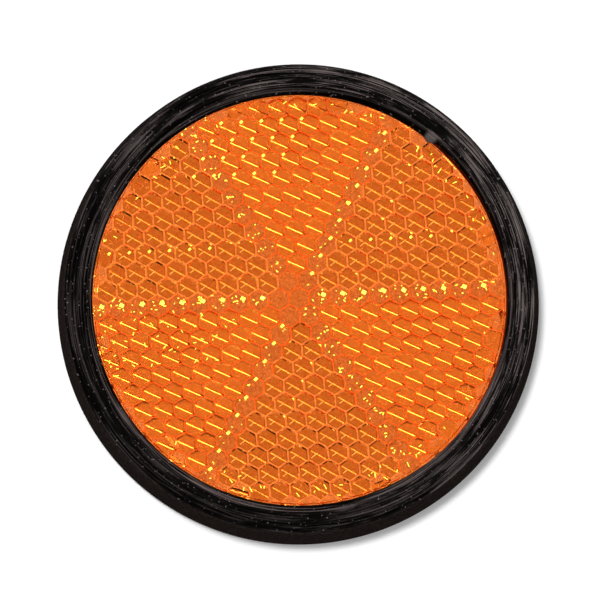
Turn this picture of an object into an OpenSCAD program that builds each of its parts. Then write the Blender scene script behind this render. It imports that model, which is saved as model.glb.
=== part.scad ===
// Round amber reflector in a black rubber ring, with a self-adhesive back.
// It lies on its back. Z runs out of the lens, towards whoever looks at it,
// and the origin is the middle of the underside, which sticks to the carrier.

/* [Lens] */
// Diameter of the lens face that shows inside the ring
lens_d = 51.4; // [36:0.2:76]
// Thickness of solid plastic between the face and the roots of the prisms
face_t = 1.8; // [1.2:0.1:3]
// Radius that breaks the edge of the face
face_edge = 0.25; // [0.1:0.05:0.4]
// Width of the flange round the face, which the lip of the ring covers
flange_w = 1.7; // [1.5:0.1:3]
// Step from the face down to the flange
flange_drop = 0.7; // [0.5:0.1:1.1]
// Wall of the skirt that stands round the prisms
skirt_t = 1.2; // [0.8:0.1:1.4]

/* [Prisms] */
// Width of one hexagonal prism across its flats
prism_pitch = 2.52; // [2.4:0.02:4]
// Turn of the whole prism field about the axis, in degrees
prism_turn = 3.2; // [0:0.1:30]
// Shift of the middle of the prism field off the axis, along Y
prism_shift = 0.38; // [-1:0.02:1]
// Plain margin between the prism field and the skirt
prism_margin = 0.3; // [0.1:0.1:1]
// Air behind the tips of the prisms
air_gap = 0.25; // [0.1:0.05:1]

/* [Back plate] */
// Thickness of the back plate
plate_t = 1.2; // [0.8:0.1:2]
// Height of the rib that centres the plate inside the skirt
rib_h = 0.3; // [0.1:0.05:0.6]
// Width of that rib
rib_w = 1.0; // [0.6:0.1:2]
// Clearance between the rib and the skirt
rib_gap = 0.1; // [0.05:0.05:0.2]

/* [Adhesive pad] */
// Thickness of the foam pad
pad_t = 1.0; // [0.9:0.1:2]
// Clearance between the pad and the foot of the ring
pad_gap = 0.6; // [0.3:0.1:2]
// Thickness of the release liner
liner_t = 0.12; // [0.05:0.01:0.3]
// Width of the tab that the liner is peeled by
tab_w = 9; // [5:0.5:14]
// Reach of the tab past the edge of the pad
tab_reach = 2.6; // [1:0.1:4]

/* [Ring] */
// Rubber outside the groove, measured at the foot
ring_wall = 2.7; // [2:0.05:5]
// Lean of the outer wall between the foot and the shoulder
ring_lean = 0.55; // [0.1:0.05:0.8]
// Radius of the shoulder between the wall and the crown
shoulder = 0.7; // [0.3:0.1:1]
// Radius of the outer edge of the foot
foot_edge = 0.3; // [0.1:0.05:0.5]
// Height of the crown above the lens face
crown_rise = 0.9; // [0.6:0.05:1.6]
// Height of the inner edge of the lip above the lens face
lip_proud = 0.12; // [0.05:0.01:0.4]
// Width of the bevel that falls from the crown to the lens
bevel_w = 1.0; // [0.6:0.1:1.4]
// Clearance between the lip and the edge of the lens face
lip_gap = 0.15; // [0.05:0.01:0.4]
// Clearance between the groove and the lens flange
groove_gap = 0.05; // [0.02:0.01:0.1]
// Thickness of the foot, which holds the back plate in
foot_t = 0.8; // [0.5:0.1:0.85]
// Reach of the foot under the back plate
foot_grip = 1.8; // [1:0.1:3]
// Width of the fine line moulded round the crown, which is half as deep
line_w = 0.16; // [0.1:0.02:0.3]
// Distance of that line from the shoulder
line_in = 0.3; // [0.1:0.05:0.6]

/* [Hidden] */
$fn = 96;
sectors = 6;
lens_r = lens_d / 2;
rim_r = lens_r + flange_w;
skirt_in = rim_r - skirt_t;
field_r = skirt_in - prism_margin;

// A cube stood on its corner and seen along its diagonal fills a hexagon.
// Its three near edges end one rise above the corner, and the far corners
// of its three faces lie twice as high.
corner_r = prism_pitch / sqrt(3);
rise = prism_pitch / sqrt(6);
web = 0.2;

// Heights, from the carrier up
plate_z = liner_t + pad_t;
skirt_z = plate_z + plate_t;
tip_z = skirt_z + rib_h + air_gap;
root_z = tip_z + 2 * rise;
face_z = root_z + face_t;
flange_z = face_z - flange_drop;
lip_z = flange_z + groove_gap;
crown_z = face_z + crown_rise;
foot_z = plate_z - foot_t;

// Radii of the ring and of what it stands round
groove_r = rim_r + groove_gap;
ring_r = groove_r + ring_wall;
lip_r = lens_r + lip_gap;
foot_in = groove_r - foot_grip;
pad_r = foot_in - pad_gap;

amber = [0.92, 0.42, 0.08];
rubber = [0.07, 0.07, 0.07];

// Points of an arc about c, from angle a to angle b.
function arc(c, r, a, b, steps = 8) =
    [for (i = [0:steps]) let (t = a + (b - a) * i / steps) c + r * [cos(t), sin(t)]];

// Makes one solid of polygons that meet edge to edge.
module closed(polygons) {
    polyhedron(
        points = [for (p = polygons) each p],
        faces = [for (i = 0, n = 0; i < len(polygons); n = n + len(polygons[i]), i = i + 1)
            [for (j = [0:len(polygons[i]) - 1]) n + j]]);
}

// A cell is named by its steps along two directions that are 60 degrees apart.
function centre(c) = prism_pitch * [c[0] + c[1] / 2, c[1] * sqrt(3) / 2];
function in_field(c) = norm(centre(c)) < field_r + corner_r + abs(prism_shift);
reach = ceil((field_r + abs(prism_shift)) / prism_pitch) + 2;
cells = [for (n = [-reach:reach], m = [-2 * reach:2 * reach]) if (in_field([m, n])) [m, n]];

// Prisms face one way in three of the sectors, and the other way between them
// and along their borders, which are the cells within a hair of a whole turn.
hair = 0.001;
function facing(c) =
    let (p = centre(c), turn = (atan2(p[1], p[0]) + 360) % 360 * sectors / 360)
    floor(turn) % 2 == 1 && abs(turn - round(turn)) > hair ? 1 : 0;

// Corner k of a cell lies at the angle 30 + 60 k, and side k runs on from it.
// Places are rounded, so that cells that share a corner give it alike.
sides = [[0, 1], [-1, 1], [-1, 0], [0, -1], [1, -1], [1, 0]];
function level(f, k) = tip_z + ((k + f) % 2 == 0 ? rise : 2 * rise);
function snap(p) = [for (x = p) round(x * 10000) / 10000];
function corner(c, k, z) =
    snap(concat(centre(c) + corner_r * [cos(30 + 60 * k), sin(30 + 60 * k)], z));
function halfway(c, k) = snap((corner(c, k, level(0, k)) + corner(c, k + 1, level(0, k + 1))) / 2);

// Where the next cell faces the other way, their edges cross half way along
// the side, and each cell shows a small upright triangle past the other.
function step_side(c, f, k, joint) =
    (k + f) % 2 == 0
        ? concat([corner(c, k, level(1 - f, k))], joint, [corner(c, k, level(f, k))])
        : concat([corner(c, k + 1, level(1 - f, k + 1)), corner(c, k + 1, level(f, k + 1))], joint);

function cell_polygons(c) =
    let (
        f = facing(c),
        top = root_z + 2 * web,
        bare = [for (s = sides) !in_field(c + s)],
        step = [for (i = [0:5]) !bare[i] && facing(c + sides[i]) != f])
    concat(
        [[for (k = [5:-1:0]) corner(c, k, top)]],
        [for (k = [f, f + 2, f + 4]) concat(
            [snap(concat(centre(c), tip_z)), corner(c, k, level(f, k))],
            step[k % 6] ? [halfway(c, k)] : [],
            [corner(c, k + 1, level(f, k + 1))],
            step[(k + 1) % 6] ? [halfway(c, k + 1)] : [],
            [corner(c, k + 2, level(f, k + 2))])],
        [for (k = [0:5]) if (step[k]) step_side(c, f, k, [halfway(c, k)])],
        [for (k = [0:5]) if (bare[k]) (k + f) % 2 == 0
            ? [corner(c, k, top), corner(c, k + 1, top), corner(c, k + 1, level(f, k + 1)),
               corner(c, k, level(f, k)), corner(c, k, level(1 - f, k))]
            : [corner(c, k, top), corner(c, k + 1, top), corner(c, k + 1, level(1 - f, k + 1)),
               corner(c, k + 1, level(f, k + 1)), corner(c, k, level(f, k))]]);

module prisms() {
    intersection() {
        translate([0, prism_shift, 0]) rotate(prism_turn)
            closed([for (c = cells) each cell_polygons(c)]);
        translate([0, 0, tip_z - web]) cylinder(h = root_z - tip_z + 4 * web, r = field_r);
    }
}

// One moulding: the face, the prisms on its back, a flange and a skirt.
module lens() {
    slab_z = root_z + web;
    color(amber) union() {
        rotate_extrude() polygon(concat(
            [[0, slab_z], [skirt_in, slab_z], [skirt_in, skirt_z], [rim_r, skirt_z],
             [rim_r, flange_z], [lens_r, flange_z]],
            arc([lens_r - face_edge, face_z - face_edge], face_edge, 0, 90),
            [[0, face_z]]));
        prisms();
    }
}

// A flat disc with a rib that centres it in the skirt, where it is welded.
module back_plate() {
    rib_r = skirt_in - rib_gap;
    color([0.8, 0.79, 0.76]) rotate_extrude() polygon([
        [0, plate_z], [rim_r, plate_z], [rim_r, skirt_z], [rib_r, skirt_z],
        [rib_r, skirt_z + rib_h], [rib_r - rib_w, skirt_z + rib_h],
        [rib_r - rib_w, skirt_z], [0, skirt_z]]);
}

// One moulding in soft rubber, stretched over the lens and the plate.
module rubber_ring() {
    wall_top = ring_r - ring_lean;
    lean = atan2(ring_lean, crown_z - shoulder - foot_z);
    line_r = wall_top - shoulder - line_in;
    color(rubber) rotate_extrude() polygon(concat(
        [[foot_in, foot_z]],
        arc([ring_r - foot_edge, foot_z + foot_edge], foot_edge, -90, lean),
        arc([wall_top - shoulder, crown_z - shoulder], shoulder, lean, 90),
        [[line_r + line_w, crown_z], [line_r + line_w / 2, crown_z - line_w / 2],
         [line_r, crown_z], [lip_r + bevel_w, crown_z], [lip_r, face_z + lip_proud],
         [lip_r, lip_z], [groove_r, lip_z], [groove_r, plate_z], [foot_in, plate_z]]));
}

// A disc of foam with adhesive on both faces.
module adhesive_pad() {
    color([0.85, 0.85, 0.83]) translate([0, 0, liner_t]) cylinder(h = pad_t, r = pad_r);
}

// A disc of waxed paper with a tab to peel it by.
module release_liner() {
    tab_r = tab_w / 2;
    color([0.95, 0.93, 0.85]) union() {
        cylinder(h = liner_t, r = pad_r);
        translate([0, -pad_r - tab_reach + tab_r, 0]) cylinder(h = liner_t, r = tab_r);
    }
}

lens();
back_plate();
rubber_ring();
adhesive_pad();
release_liner();
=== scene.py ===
# Looks of a round amber reflector in a black rubber ring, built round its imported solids.
# Sections follow the order in which the reflector is put together.
import math
import random

import bmesh
import bpy
from mathutils import Matrix, Vector


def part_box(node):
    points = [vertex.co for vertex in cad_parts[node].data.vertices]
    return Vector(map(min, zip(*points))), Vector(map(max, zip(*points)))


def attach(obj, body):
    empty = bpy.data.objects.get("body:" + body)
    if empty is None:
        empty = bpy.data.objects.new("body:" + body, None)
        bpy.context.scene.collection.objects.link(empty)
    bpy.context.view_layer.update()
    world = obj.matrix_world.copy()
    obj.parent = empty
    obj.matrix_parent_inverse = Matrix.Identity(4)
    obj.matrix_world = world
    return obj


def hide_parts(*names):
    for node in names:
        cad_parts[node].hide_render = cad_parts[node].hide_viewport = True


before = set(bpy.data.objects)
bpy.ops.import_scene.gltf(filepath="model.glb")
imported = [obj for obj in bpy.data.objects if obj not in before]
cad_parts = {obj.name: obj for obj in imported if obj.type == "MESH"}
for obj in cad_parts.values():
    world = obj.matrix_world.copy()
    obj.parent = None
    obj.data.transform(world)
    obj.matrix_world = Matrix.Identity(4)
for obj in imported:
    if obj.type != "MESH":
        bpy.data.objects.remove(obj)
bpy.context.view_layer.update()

# ---- Lens ----
# One moulding in clear amber acrylic. Its face is flat and polished, and its back is a field
# of hexagonal cube-corner prisms. Each cell returns light by three reflections, so the prisms
# keep their sharp facets, and only their edges carry the small radii of the mould's pins.
MM = 0.001


def merged(node):
    """A mesh to work on, from a node's loose triangles, with its flat faces whole."""
    bm = bmesh.new()
    bm.from_mesh(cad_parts[node].data)
    bmesh.ops.remove_doubles(bm, verts=bm.verts, dist=0.001 * MM)
    bmesh.ops.dissolve_limit(bm, angle_limit=math.radians(0.5), verts=bm.verts, edges=bm.edges)
    return bm


def piece(name, bm, finishes, node, smooth_below=None):
    """Keeps a mesh as one piece of the reflector, which stands for a solid."""
    mesh = bpy.data.meshes.new(name)
    bm.to_mesh(mesh)
    bm.free()
    if "custom_normal" in mesh.attributes:
        mesh.attributes.remove(mesh.attributes["custom_normal"])
    mesh.shade_flat()
    if smooth_below:
        mesh.shade_smooth()
        mesh.set_sharp_from_angle(angle=math.radians(smooth_below))
    for finish in finishes:
        mesh.materials.append(finish)
    made = bpy.data.objects.new(name, mesh)
    bpy.context.scene.collection.objects.link(made)
    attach(made, "root")
    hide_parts(node)


class Wire:
    """A socket in a node tree, with the operators that the shader maths needs."""

    def __init__(self, tree, socket=None):
        self.tree, self.socket = tree, socket

    def node(self, kind, settings=(), inputs=(), out=0):
        """Adds a node: its settings first, then the values or wires of its sockets."""
        made = self.tree.nodes.new("ShaderNode" + kind)
        for name, value in dict(settings).items():
            setattr(made, name, value)
        for name, value in dict(inputs).items():
            if isinstance(value, Wire):
                self.tree.links.new(value.socket, made.inputs[name])
            else:
                made.inputs[name].default_value = value
        return Wire(self.tree, made.outputs[out])

    def beside(self, name):
        """Another output of the same node."""
        return Wire(self.tree, self.socket.node.outputs[name])

    def maths(self, operation, *values):
        return self.node("Math", {"operation": operation}, dict(enumerate(values)))

    def __add__(self, other):
        return self.maths("ADD", self, other)

    def __sub__(self, other):
        return self.maths("SUBTRACT", self, other)

    def __rsub__(self, other):
        return self.maths("SUBTRACT", other, self)

    def __mul__(self, other):
        return self.maths("MULTIPLY", self, other)

    def __truediv__(self, other):
        return self.maths("DIVIDE", self, other)

    __radd__, __rmul__ = __add__, __mul__

    def ramp(self, low, high, to_low=0.0, to_high=1.0):
        """Runs smoothly from one value to another as this one goes from low to high."""
        return self.node("MapRange", {"interpolation_type": "SMOOTHSTEP"}, {
            "Value": self, "From Min": low, "From Max": high, "To Min": to_low, "To Max": to_high})

    def between(self, colour_a, colour_b):
        """The colour between two, by this value. A Mix node has its colours at 6, 7 and output 2."""
        return self.node("Mix", {"data_type": "RGBA"}, {
            0: self, 6: (*colour_a, 1), 7: (*colour_b, 1)}, out=2)

    def into(self, shader, name):
        self.tree.links.new(self.socket, shader.inputs[name])


def finish(name, **constants):
    """A new finish: gives it, its shader, and its Object coordinates in millimetres."""
    made = bpy.data.materials.new(name)
    made.use_nodes = True
    shader = made.node_tree.nodes["Principled BSDF"]
    for word, value in constants.items():
        shader.inputs[word.replace("_", " ")].default_value = value
    coordinates = Wire(made.node_tree).node("TexCoord", out="Object")
    place = coordinates.node("VectorMath", {"operation": "SCALE"}, {0: coordinates, "Scale": 1 / MM})
    return made, shader, place


def speckle(place, scale, detail=2.0, roughness=0.5):
    """Noise over a surface, in features to the millimetre."""
    return place.node("TexNoise", {}, {
        "Vector": place, "Scale": scale, "Detail": detail, "Roughness": roughness})


def bumped(shader, height, strength, distance):
    """Raises a surface by a height between 0 and 1, times a distance in millimetres."""
    height.node("Bump", {}, {
        "Height": height, "Strength": strength, "Distance": distance * MM}).into(shader, "Normal")


def amber(name, roughness):
    """Amber acrylic of some roughness, still without its colour."""
    return finish(name, Roughness=roughness, IOR=1.49, Transmission_Weight=1.0)


AMBER, AMBER_DEEP = (1.0, 0.21, 0.024), (0.74, 0.12, 0.010)


def grained(shader, place):
    """The fine grain of the photographed plastic, in its colour."""
    grain = speckle(place, 3.4, detail=4.0, roughness=0.8).ramp(0.43, 0.57)
    grain.between(AMBER, AMBER_DEEP).into(shader, "Base Color")


amber_clear, shader, place = amber("amber_clear", 0.0)
grained(shader, place)

# In three of the sectors the pins of the mould are a little worn, and the prisms return light less
# sharply. Those along the borders of the sectors are worn the most, with scuffed patches painted to
# glow.
satin, shader, place = amber("amber_satin", 0.13)
grained(shader, place)
worn, shader, place = amber("amber_worn", 0.1)
speckle(place, 3.0).between(AMBER, AMBER_DEEP).into(shader, "Base Color")
bumped(shader, speckle(place, 2.5), 0.4, 0.06)
# The scuffs are wear, but their brightness is a painted glow, from an emissive shader mixed in.
scuff_glow_colour = speckle(place, 3.0).ramp(0.35, 0.65).between((1.0, 0.5, 0.3), (0.5, 0.2, 0.1))
scuff_glow = place.node("BsdfPrincipled", {}, {
    "Base Color": (0, 0, 0, 1), "Specular IOR Level": 0.0,
    "Emission Strength": 1.0, "Emission Color": scuff_glow_colour})
SCUFF_GLOW_MOST = 0.7
scuff_glow_mask = speckle(place, 1.9, detail=4.0, roughness=0.7).ramp(0.44, 0.56) * SCUFF_GLOW_MOST
place.node("MixShader", {}, {
    0: scuff_glow_mask, 1: Wire(place.tree, shader.outputs["BSDF"]), 2: scuff_glow}).into(
    place.tree.nodes["Material Output"], "Surface")

# The radii at the roots of the prisms scatter light, and a painted glow adds to it; together they draw
# each cell's outline. In the satin and worn cells they scatter and glow less, and so do the undersides
# of the flecks.
ROOT_GLOW = 0.6
amber_root, shader, place = finish(
    "amber_root", Roughness=0.5, Emission_Color=(0.9, 0.56, 0.38, 1), Emission_Strength=ROOT_GLOW)
speckle(place, 2.0).ramp(0.3, 0.7).between((1, 0.95, 0.9), (0.7, 0.6, 0.5)).into(shader, "Base Color")
soft_root, shader, place = finish(
    "amber_root_soft", Roughness=0.5, Emission_Color=(0.95, 0.36, 0.14, 1), Emission_Strength=ROOT_GLOW)
speckle(place, 2.0).ramp(0.3, 0.7).between((0.9, 0.4, 0.2), (0.6, 0.2, 0.08)).into(shader, "Base Color")

# The glints and short strokes of light in the prisms are painted: small flat flecks just above them
# that glow. Their colours are greener than they look, because they shine through the amber face.
glint, shader, place = finish("amber_glint", Roughness=0.3, Emission_Strength=6.0)
speckle(place, 1.0).between((0.45, 1.0, 0.3), (0.5, 0.9, 0.25)).into(shader, "Emission Color")
painted_stroke, shader, place = finish("amber_stroke", Roughness=0.5, Emission_Strength=1.0)
speckle(place, 2.0).between((1.0, 0.85, 0.5), (1.0, 1.2, 0.7)).into(shader, "Emission Color")

# The prism field, as in the solid: millimetres, and its turn about the axis.
PITCH, TURN, SHIFT = 2.52, math.radians(3.2), 0.38
ROW = PITCH * math.sqrt(3) / 2
TIP_Z = 2.87
ROOT_Z = TIP_Z + 2 * PITCH / math.sqrt(6)
FIELD_R = 25.85
NEAR = 0.02  # how close to a height counts as at it
SHARP, LEAST_EDGE = math.radians(12), 0.8  # the least fold and length of an edge to round
UPRIGHT, FACET = 0.1, 0.9  # the most that a normal leans along Z, on a step and on a facet
CLEAR, ROOT, SOFT_ROOT, GLINT, SATIN, WORN, PAINTED_STROKE = range(7)  # places in the lens's finishes
bm = merged("lens")


def cell_of(point):
    """The cell that a point of the lens lies in, by its steps along the rows of prisms."""
    x, y = point.x / MM, point.y / MM - SHIFT
    u = x * math.cos(TURN) + y * math.sin(TURN)
    v = y * math.cos(TURN) - x * math.sin(TURN)
    n = round(v / ROW)
    return round(u / PITCH - n / 2), n


def finish_of(cell):
    """Worn on the borders of the six sectors, and satin in every other one between them."""
    m, n = cell
    if 0 in (m, n, m + n):
        return WORN
    sector = math.degrees(math.atan2(n * math.sqrt(3) / 2, m + n / 2)) % 360 / 60
    return SATIN if int(sector) % 2 == 1 else CLEAR


def prism_edges(bm):
    """The sharp edges inside the field, in two lists: those that end at a tip, and the rest."""
    sharp = [e for e in bm.edges
             if all(v.co.z < (ROOT_Z + NEAR) * MM and v.co.xy.length < FIELD_R * MM for v in e.verts)
             and len(e.link_faces) == 2
             and e.calc_face_angle(0) > SHARP and e.calc_length() > LEAST_EDGE * MM]
    ends_at_tip = [any(abs(v.co.z - TIP_Z * MM) < NEAR * MM for v in e.verts) for e in sharp]
    return ([e for e, tip in zip(sharp, ends_at_tip) if tip],
            [e for e, tip in zip(sharp, ends_at_tip) if not tip])


def rounded(bm, edges, radius, segments):
    """Rounds edges by a radius in millimetres, and gives the new faces."""
    return bmesh.ops.bevel(
        bm, geom=edges, offset=radius * MM, offset_type="OFFSET", affect="EDGES",
        segments=segments, profile=0.5, material=-1, clamp_overlap=False)["faces"]


bm.normal_update()
for face in bm.faces:
    middle = face.calc_center_median()
    among_prisms = TIP_Z * MM < middle.z < ROOT_Z * MM
    out, lean = middle.xy.length / MM, abs(face.normal.z)
    face.material_index = CLEAR
    if among_prisms and lean < UPRIGHT and out < FIELD_R + 0.1:
        face.material_index = ROOT
    elif among_prisms and lean < FACET and out < FIELD_R:
        face.material_index = finish_of(cell_of(middle))

ROOT_RADIUS, ROOT_STEPS = 0.14, 1
for face in rounded(bm, prism_edges(bm)[1], ROOT_RADIUS, ROOT_STEPS):
    kind = finish_of(cell_of(face.calc_center_median()))
    face.material_index = ROOT if kind == CLEAR else SOFT_ROOT


def runs_along(edge, kind, angle):
    """Whether a tip's edge lies in a cell of one finish, and runs out at some angle."""
    tip, end = sorted((v.co for v in edge.verts), key=lambda co: co.z)
    off = math.degrees(math.atan2(end.y - tip.y, end.x - tip.x) - TURN) % 360 - angle
    return finish_of(cell_of((tip + end) / 2)) == kind and abs(off) < 1


# Of the three edges that meet at each tip, these are rounded enough to catch the strip light:
# the finish of their cell, the angle that they run out at, and their radius.
TIP_EDGES, TIP_STEPS = ((SATIN, 330, 0.15), (CLEAR, 150, 0.06)), 4
for kind, angle, radius in TIP_EDGES:
    lit = [e for e in prism_edges(bm)[0] if runs_along(e, kind, angle)]
    for face in rounded(bm, lit, radius, TIP_STEPS):
        face.material_index = CLEAR


def middle_of(m, n):
    """The middle of a cell, in millimetres along the rows of prisms and across them."""
    return Vector((PITCH * (m + n / 2), ROW * n))


PAINTED_GLINT_Z, UNDERSIDE_Z = ROOT_Z + 0.12, ROOT_Z + 0.1


def painted_glint(at, half_length, half_width, turned, kind=GLINT):
    """A painted glint: a flat glowing spot just above the prisms, with a dull underside that glows
    dimly.
    """
    for z, side in ((PAINTED_GLINT_Z, kind), (UNDERSIDE_Z, SOFT_ROOT)):
        corners = []
        for a, b in ((-1, -1), (1, -1), (1, 1), (-1, 1)):
            p = Vector((a * half_length, b * half_width))
            p.rotate(Matrix.Rotation(math.radians(turned), 2))
            p += at
            p.rotate(Matrix.Rotation(TURN, 2))
            corners.append(bm.verts.new((p.x * MM, (p.y + SHIFT) * MM, z * MM)))
        bm.faces.new(corners).material_index = side


rng = random.Random(7)


def strewn(at, count, spread, longest, half_width, kind=GLINT):
    """Some small painted glints, strewn about a place."""
    for _ in range(count):
        painted_glint(at + Vector((rng.uniform(-spread, spread), rng.uniform(-spread, spread))),
              rng.uniform(0.3, 1.0) * longest, half_width, rng.uniform(0, 180), kind)


# Borders of the sectors, in painted glints: a square in each cell of the level row, a dot in each cell
# of the one that rises to the right, and specks along all three. The dots wander as they leave the
# middle.
STRAY = 0.06
for k in list(range(-10, -1)) + list(range(1, 10)):
    stray = Vector((rng.uniform(-STRAY, STRAY), rng.uniform(-STRAY, STRAY)))
    painted_glint(middle_of(k, 0) + Vector((0.52, 0.27)) + stray, 0.27, 0.23, -30)
    strewn(middle_of(k, 0), 6, 0.9, 0.18, 0.05)
    off_middle = Vector((0.5 + k / 75, 0.89 - k / 22)) if k > 0 else Vector((0.28, 1.0))
    painted_glint(middle_of(0, k) + off_middle + stray, 0.24, 0.16, 40)
    strewn(middle_of(0, k), 2, 0.8, 0.15, 0.045)
    strewn(middle_of(k, -k), 5, 0.9, 0.18, 0.055)

# Painted glints: a row of dots in the sharp cells, the heads of the strokes in the top sector, and
# specks in the satin cells on the left.
for m in list(range(-11, -5)) + list(range(1, 6)):
    painted_glint(middle_of(m, 3) + Vector((0.55, 0.3)), 0.18, 0.13, 40)
for n in range(7, 11):
    for m in range(-8, -3):
        painted_glint(middle_of(m, n) + Vector((-0.9, 0.67)), 0.2, 0.14, 40)
for n in range(-3, 0):
    for m in range(-9, -2):
        strewn(middle_of(m, n), 2, 1.0, 0.28, 0.04)

# Painted glints and glow for the cut prisms round the rim, and the painted short strokes of light,
# which lie down to the left of each sharp cell's middle.
RIM_FLECKS, RIM_FROM, RIM_TO = 420, 23.4, 25.2
for i in range(RIM_FLECKS):
    angle, reach = rng.uniform(0, 2 * math.pi), rng.uniform(RIM_FROM, RIM_TO)
    strewn(Vector((reach * math.cos(angle), reach * math.sin(angle))), 1, 0.3, 0.35, 0.04,
           GLINT if i % 6 == 0 else ROOT)
STROKES_R = 23.5
for n in range(-10, 11):
    for m in range(-14, 15):
        middle = middle_of(m, n)
        if finish_of((m, n)) == CLEAR and middle.length < STROKES_R:
            painted_glint(middle + Vector((-0.5, -0.27)), rng.uniform(0.3, 0.52), 0.055, 35, PAINTED_STROKE)
piece("amber_lens", bm, [amber_clear, amber_root, soft_root, glint, satin, worn, painted_stroke],
      "lens")

# ---- Back plate ----
# A flat moulded disc with a centring rib, welded to the lens's skirt. It closes the air behind
# the prisms, and only its edge could ever be seen, inside the rubber.
plate_finish, shader, place = finish("plate_moulded", Roughness=0.5)
speckle(place, 3.0).between((0.55, 0.54, 0.52), (0.62, 0.61, 0.59)).into(shader, "Base Color")
bumped(shader, speckle(place, 12.0), 0.2, 0.02)


def dressed(node, skin):
    """Gives a solid its finish, as it is."""
    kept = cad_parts[node].data.materials
    kept.clear()
    kept.append(skin)


dressed("back_plate", plate_finish)

# ---- Rubber ring ----
# One soft black rubber moulding, stretched over the lens and the plate. Its skin has the fine rings
# of the turned mould, streaks of bloom and painted reflection, and dust that the photograph shows.
RING_STEPS = 360
RING_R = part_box("rubber_ring")[1].x / MM
CROWN_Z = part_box("rubber_ring")[1].z / MM
FACE_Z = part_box("lens")[1].z / MM
FOOT_IN, FOOT_Z = 25.65, 0.32
GROOVE_R, GROOVE_FLOOR, GROOVE_TOP = 27.45, 1.12, 6.08
LIP_R = 25.85
LINE_R, LINE_HALF, LINE_DEEP = 28.55, 0.07, 0.07
profile = [
    # The foot and its outer edge.
    (FOOT_IN, FOOT_Z), (RING_R - 0.3, FOOT_Z), (RING_R - 0.09, 0.41), (RING_R, 0.62),
    # The leaning wall, the shoulder and the crown.
    (RING_R - 0.08, 2.0), (RING_R - 0.25, 4.0), (RING_R - 0.43, 6.0), (RING_R - 0.53, 6.95),
    (RING_R - 0.62, 7.25), (RING_R - 0.78, 7.47), (RING_R - 0.9, 7.53),
    (RING_R - 1.0, CROWN_Z - 0.06), (RING_R - 1.2, CROWN_Z - 0.01), (28.7, CROWN_Z),
    # The fine line round the crown.
    (LINE_R + LINE_HALF, CROWN_Z), (LINE_R, CROWN_Z - LINE_DEEP), (LINE_R - LINE_HALF, CROWN_Z),
    # The crown's inner side, and the bevel that falls to the lens.
    (28.0, CROWN_Z), (27.5, CROWN_Z - 0.01), (27.1, CROWN_Z - 0.05), (26.86, CROWN_Z - 0.14),
    (26.7, CROWN_Z - 0.28), (26.4, FACE_Z + 0.42), (26.15, FACE_Z + 0.28), (26.0, FACE_Z + 0.2),
    (25.89, FACE_Z + 0.12), (LIP_R, FACE_Z + 0.02),
    # The groove that holds the lens and the plate.
    (LIP_R, GROOVE_TOP), (GROOVE_R, GROOVE_TOP), (GROOVE_R, GROOVE_FLOOR), (FOOT_IN, GROOVE_FLOOR)]
bm = bmesh.new()
verts = [bm.verts.new((r * MM, 0, z * MM)) for r, z in profile]
edges = [bm.edges.new((a, b)) for a, b in zip(verts, verts[1:] + verts[:1])]
bmesh.ops.spin(bm, geom=verts + edges, cent=(0, 0, 0), axis=(0, 0, 1), angle=2 * math.pi,
               steps=RING_STEPS, use_merge=True)

# The lip lies close to the lens on the left. To the right of its seam it stands a little off,
# and at the seam a small flap reaches in. Angles are in degrees, and the rest in millimetres.
SEAM, OPEN_FROM = 51.0, -62.0
OPENS_BY, OPENS_OVER, CLOSES_OVER, EASES_OVER = 0.24, 25.0, 2.0, 0.5
LIP_STOPS, LIP_FLOOR = 26.75, 6.0
FLAP_REACH, FLAP_HALF, FLAP_FLOOR = 0.34, 2.7, 6.5
for v in bm.verts:
    r, z = v.co.xy.length / MM, v.co.z / MM
    if r < LIP_STOPS and z > LIP_FLOOR:
        angle = math.degrees(math.atan2(v.co.y, v.co.x))
        open_by = OPENS_BY * max(0.0, min(
            1.0, (SEAM - angle) / CLOSES_OVER, (angle - OPEN_FROM) / OPENS_OVER))
        if abs(angle - SEAM) < FLAP_HALF and z > FLAP_FLOOR:
            open_by -= FLAP_REACH * (1 - abs(angle - SEAM) / FLAP_HALF)
        share = min(1.0, (LIP_STOPS - r) / EASES_OVER)
        v.co.xy *= 1 + open_by * share / r
bmesh.ops.recalc_face_normals(bm, faces=bm.faces)

rubber, shader, place = finish("rubber_moulded", Specular_IOR_Level=0.06)
split = place.node("SeparateXYZ", {}, {0: place})
east, north = split.beside("X"), split.beside("Y")
squared = east * east + north * north
radius = squared.maths("SQRT", squared)
turn = place.maths("ARCTAN2", north, east)


def ring_streaks(across, along, seed):
    """Noise drawn out round the ring: features to the millimetre across it, to the radian along."""
    round_the_ring = place.node("CombineXYZ", {}, {
        "X": radius * across,
        "Y": turn.maths("SINE", turn) * along, "Z": turn.maths("COSINE", turn) * along})
    moved = place.node("VectorMath", {"operation": "ADD"}, {
        0: round_the_ring, 1: (seed, seed * 2, seed * 3)})
    return speckle(moved, 1.0, detail=5.0, roughness=0.68)


# Painted light: the crown is painted as lit from the upper right, and the lip as lit from below. Beside
# the lens the lip has painted shade, and more so at the upper right, where only the flap is painted
# lit.
fine = ring_streaks(7.0, 2.2, 1.3)
broad = ring_streaks(1.3, 4.0, 4.1)
dust = speckle(place, 3.4, detail=0.0).ramp(0.76, 0.79)
to_east, to_north = east / radius, north / radius
on_lip = radius.ramp(26.85, 26.6)
in_shade = 0.38 * (to_east + to_north).ramp(0.9, 1.3)
lip_lit = on_lip * (radius - in_shade).ramp(25.98, 26.14) * (0.65 - 0.32 * to_north)
crown_lit = broad.ramp(0.42, 0.56) * (0.6 + 0.32 * to_east + 0.26 * to_north) + 0.03
flap_lit = on_lip * (turn.ramp(math.radians(SEAM - 2.2), math.radians(SEAM - 0.8))
                 * turn.ramp(math.radians(SEAM + 0.8), math.radians(SEAM + 2.2), 1.0, 0.0))
# The streaks are part bloom and part painted reflection, under the painted light above.
bloom_and_sheen = fine.ramp(0.455, 0.62) * (crown_lit * (1.0 - on_lip) + lip_lit + flap_lit * 0.5)
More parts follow.
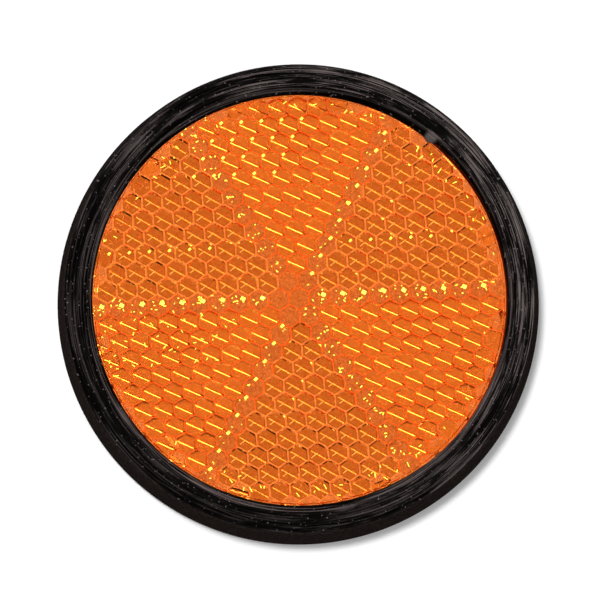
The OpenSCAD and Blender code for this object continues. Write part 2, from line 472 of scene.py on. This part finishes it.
# Real dust, and a painted highlight on the flap.
dust_and_sheen = bloom_and_sheen + dust * 0.7 + flap_lit * 0.35
dust_and_sheen.between((0.0008, 0.0005, 0.0004), (0.165, 0.135, 0.13)).into(shader, "Base Color")
(0.4 + 0.3 * fine).into(shader, "Roughness")
bumped(shader, fine + speckle(place, 6.0) * 0.3, 0.5, 0.03)

# The wall keeps the dull skin of an eroded mould.
WALL_FACES_OUT = 0.8
rubber_side, shader, place = finish("rubber_dull", Roughness=0.8, Specular_IOR_Level=0.0)
skin = speckle(place, 2.5, detail=4.0).ramp(0.35, 0.7)
skin.between((0.012, 0.009, 0.008), (0.024, 0.018, 0.016)).into(shader, "Base Color")
bumped(shader, speckle(place, 4.0), 0.3, 0.03)
bm.normal_update()
for face in bm.faces:
    outward = face.normal.xy.dot(face.calc_center_median().xy.normalized())
    face.material_index = 1 if outward > WALL_FACES_OUT else 0
piece("rubber_ring_skin", bm, [rubber, rubber_side], "rubber_ring", smooth_below=35)

# ---- Adhesive pad ----
# A disc of closed-cell foam with adhesive on both faces, pressed on to the plate inside the
# foot of the ring.
foam, shader, place = finish("foam", Roughness=0.9)
cells = place.node("TexVoronoi", {}, {"Vector": place, "Scale": 3.5}).ramp(0.1, 0.6)
cells.between((0.55, 0.55, 0.53), (0.8, 0.8, 0.78)).into(shader, "Base Color")
bumped(shader, cells, 0.6, 0.1)
dressed("adhesive_pad", foam)

# ---- Release liner ----
# A die-cut disc of waxed paper that covers the adhesive until the reflector is mounted, with a
# tab to peel it by.
waxed, shader, place = finish("waxed_paper", Roughness=0.4, Coat_Weight=0.2)
fibres = speckle(place, 1.5, detail=6.0).ramp(0.3, 0.7)
fibres.between((0.78, 0.74, 0.62), (0.86, 0.83, 0.73)).into(shader, "Base Color")
bumped(shader, speckle(place, 5.0), 0.15, 0.02)
dressed("release_liner", waxed)

# ---- Floor, light and camera ----
# A white table top, a hair under the liner. A small lamp stands nearly overhead, a little to the
# upper left, in a soft white room. The camera looks almost straight down.
FLOOR_HALF, FLOOR_BELOW = 0.6, 0.02 * MM
bm = bmesh.new()
bmesh.ops.create_grid(bm, x_segments=1, y_segments=1, size=FLOOR_HALF)
bmesh.ops.translate(bm, verts=bm.verts, vec=(0, 0, -FLOOR_BELOW))
mesh = bpy.data.meshes.new("floor")
bm.to_mesh(mesh)
bm.free()
floor = bpy.data.objects.new("floor", mesh)
bpy.context.scene.collection.objects.link(floor)
WHITE = (1, 1, 1, 1)
paper, shader, place = finish("floor_white", Roughness=0.9, Specular_IOR_Level=0.0,
                              Base_Color=(0.9, 0.9, 0.9, 1), Emission_Color=WHITE)
seen = place.node("LightPath", out="Is Camera Ray")
# Far from the lamp the floor falls off, and more is added so that it stays white to the eye.
far = place.node("VectorMath", {"operation": "LENGTH"}, {0: place}, out="Value")
(seen * far.ramp(60, 350, 0.16, 0.8)).into(shader, "Emission Strength")
mesh.materials.append(paper)

TILT_DOWN, TILT_LEFT = math.radians(6.3), math.radians(1.2)
to_camera = Vector((-math.sin(TILT_LEFT), -math.sin(TILT_DOWN), 1)).normalized()
world = bpy.data.worlds.new("studio")
bpy.context.scene.world = world
world.use_nodes = True
back = world.node_tree.nodes["Background"]
back.inputs["Color"].default_value = WHITE
sky = Wire(world.node_tree).node("TexCoord", out="Generated")


def aim(azimuth, polar):
    """The direction at an angle round from +X and an angle down from +Z, in degrees."""
    a, p = math.radians(azimuth), math.radians(polar)
    return Vector((math.sin(p) * math.cos(a), math.sin(p) * math.sin(a), math.cos(p)))


def patch(direction, inner, outer):
    """1 within some degrees of a direction, falling to 0 at others."""
    along = sky.node("VectorMath", {"operation": "DOT_PRODUCT"}, {0: sky, 1: direction}, out="Value")
    return along.ramp(math.cos(math.radians(outer)), math.cos(math.radians(inner)))


# What the prisms return: a white room, darker at the camera, and a strip light at the upper right.
# Its bright end draws the strokes in the satin cells, and its faint end those in the sharp cells.
ROOM, CAMERA_SHADE, STRIP, STRIP_END = 1.04, 0.3, 110.0, 18.0
in_prisms = (ROOM - CAMERA_SHADE * patch(to_camera, 2, 4)
             + STRIP * patch(aim(40, 24), 6, 9) + STRIP_END * patch(aim(70, 24), 3, 5))

# What the rubber and the lens's face mirror: a pale horizon, a soft window at the upper left, the
# strip light and a faint one beside it.
elevation = sky.node("SeparateXYZ", {}, {0: sky}, out="Z")
in_gloss = (elevation.ramp(0.2, 0.6, 0.3, 0.0) + 1.2 * patch(aim(130, 48), 8, 24)
            + 4.0 * patch(aim(43, 24), 6, 10) + 0.5 * patch(aim(95, 24), 3, 12))
ON_MATT = 0.35
rays = sky.node("LightPath")
through, glossy, seen = (
    rays.beside(name) for name in ("Is Transmission Ray", "Is Glossy Ray", "Is Camera Ray"))
reflected = glossy * in_gloss + (1.0 - glossy) * ON_MATT
level = seen + (1.0 - seen) * (through * in_prisms + (1.0 - through) * reflected)
level.into(back, "Strength")

# The lamp only lights: what the prisms and the gloss show of the room is all in the sky above.
LAMP_AT, LAMP_FAR, LAMP_WIDE, LAMP_WATTS = aim(135, 10), 0.9, 0.13, 6.0
key = bpy.data.lights.new("key", "AREA")
key.shape, key.size, key.energy = "DISK", LAMP_WIDE, LAMP_WATTS
key_lamp = bpy.data.objects.new("key", key)
bpy.context.scene.collection.objects.link(key_lamp)
key_lamp.location = LAMP_AT * LAMP_FAR
key_lamp.rotation_euler = LAMP_AT.to_track_quat("Z", "Y").to_euler()
key_lamp.visible_transmission = False
key_lamp.visible_glossy = False

CAMERA_FAR, WIDTH_SEEN, SENSOR = 3.0, 0.075, 36
camera_data = bpy.data.cameras.new("camera")
camera = bpy.data.objects.new("camera", camera_data)
bpy.context.scene.collection.objects.link(camera)
bpy.context.scene.camera = camera
looked_at = Vector((0.1 * MM, 0, 6.5 * MM))
right = (Vector((1, 0, 0)) - to_camera * to_camera.x).normalized()
turn_to = Matrix((right, to_camera.cross(right), to_camera)).transposed()
camera.matrix_world = Matrix.Translation(looked_at + to_camera * CAMERA_FAR) @ turn_to.to_4x4()
camera_data.sensor_width = SENSOR
camera_data.lens = SENSOR * CAMERA_FAR / WIDTH_SEEN
camera_data.clip_start, camera_data.clip_end = 0.01, 10

# Light meets many facets on its way through the prisms.
scene = bpy.context.scene
scene.view_settings.view_transform = "Standard"
scene.cycles.max_bounces = 24
scene.cycles.glossy_bounces = 16
scene.cycles.transmission_bounces = 20
